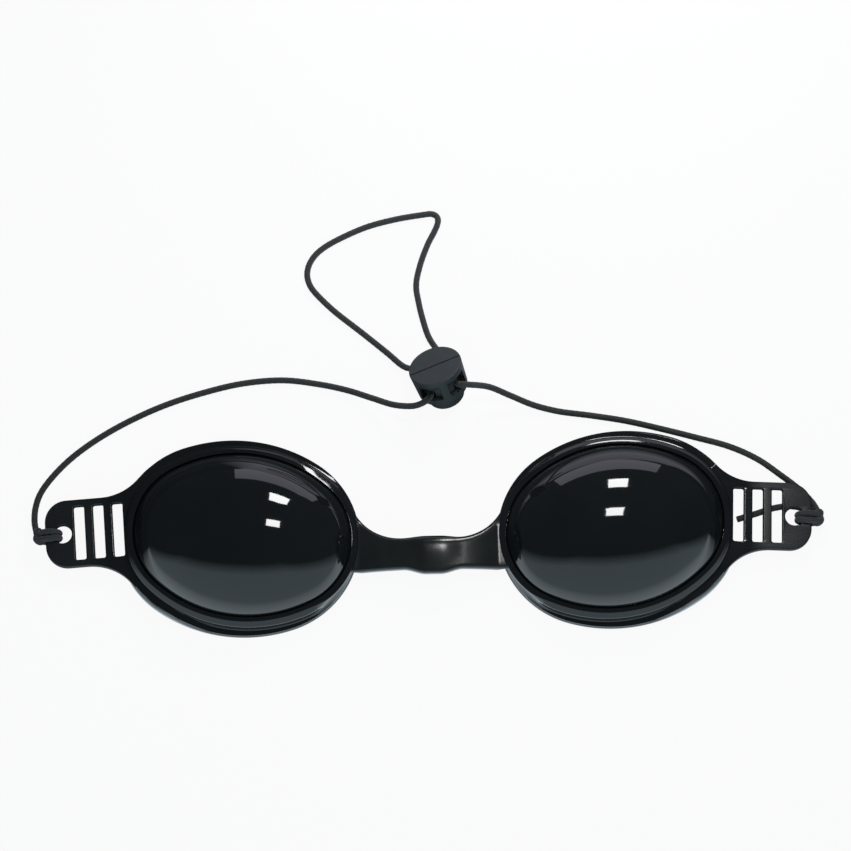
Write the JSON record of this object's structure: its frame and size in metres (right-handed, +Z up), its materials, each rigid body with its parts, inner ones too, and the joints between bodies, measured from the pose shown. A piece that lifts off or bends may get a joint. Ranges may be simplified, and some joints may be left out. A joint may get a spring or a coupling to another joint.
{
  "type": "laser eye shields",
  "caption": "Opaque black domed eye shields with a soft nose bridge, slotted strap tabs and an elastic cord held by a spring cord lock.",
  "frame": {"origin": "centre of the two rims' bounding box, on the plane of their undersides", "axes": "+X from the nose towards the right cup in the picture, +Y towards the brow and the cord, +Z up, out of the domes"},
  "size_m": [0.1822, 0.101, 0.016],
  "materials": {
    "shell": "gloss",
    "bridge": "satin",
    "cord": "braided",
    "lock": "matte",
    "spring": "drawn wire"
  },
  "bodies": {
    "left_cup": {"rim_left": "shell", "dome_left": "shell", "nose_bridge": "bridge", "knot_left": "cord", "cord_left": "cord", "cord_loop": "cord"},
    "right_cup": {"rim_right": "shell", "dome_right": "shell", "knot_right": "cord", "cord_tail": "cord", "cord_right": "cord"},
    "cord_lock": {"lock_barrel": "lock", "lock_spring": "spring"},
    "lock_button": {"lock_plunger": "lock"}
  },
  "joints": [
    {"name": "bridge_flex", "type": "hinge", "parent": "left_cup", "child": "right_cup", "pos_m": [0, -0.005, 0.0045], "axis": [0, 1, 0], "range_deg": [-25, 40], "stiffness_Nm_per_rad": 0.05, "deforming": ["nose_bridge", "cord_right"]},
    {"name": "lock_slide", "type": "slide", "parent": "left_cup", "child": "cord_lock", "axis": [0, 1, 0], "range_m": [-0.01, 0.02], "deforming": ["cord_left", "cord_loop", "cord_right"]},
    {"name": "plunger_press", "type": "slide", "parent": "cord_lock", "child": "lock_button", "axis": [-0.2641, 0.4764, 0.8387], "range_m": [0, 0.002], "stiffness_N_per_m": 500, "springref_m": -0.002, "deforming": ["lock_spring"]}
  ]
}
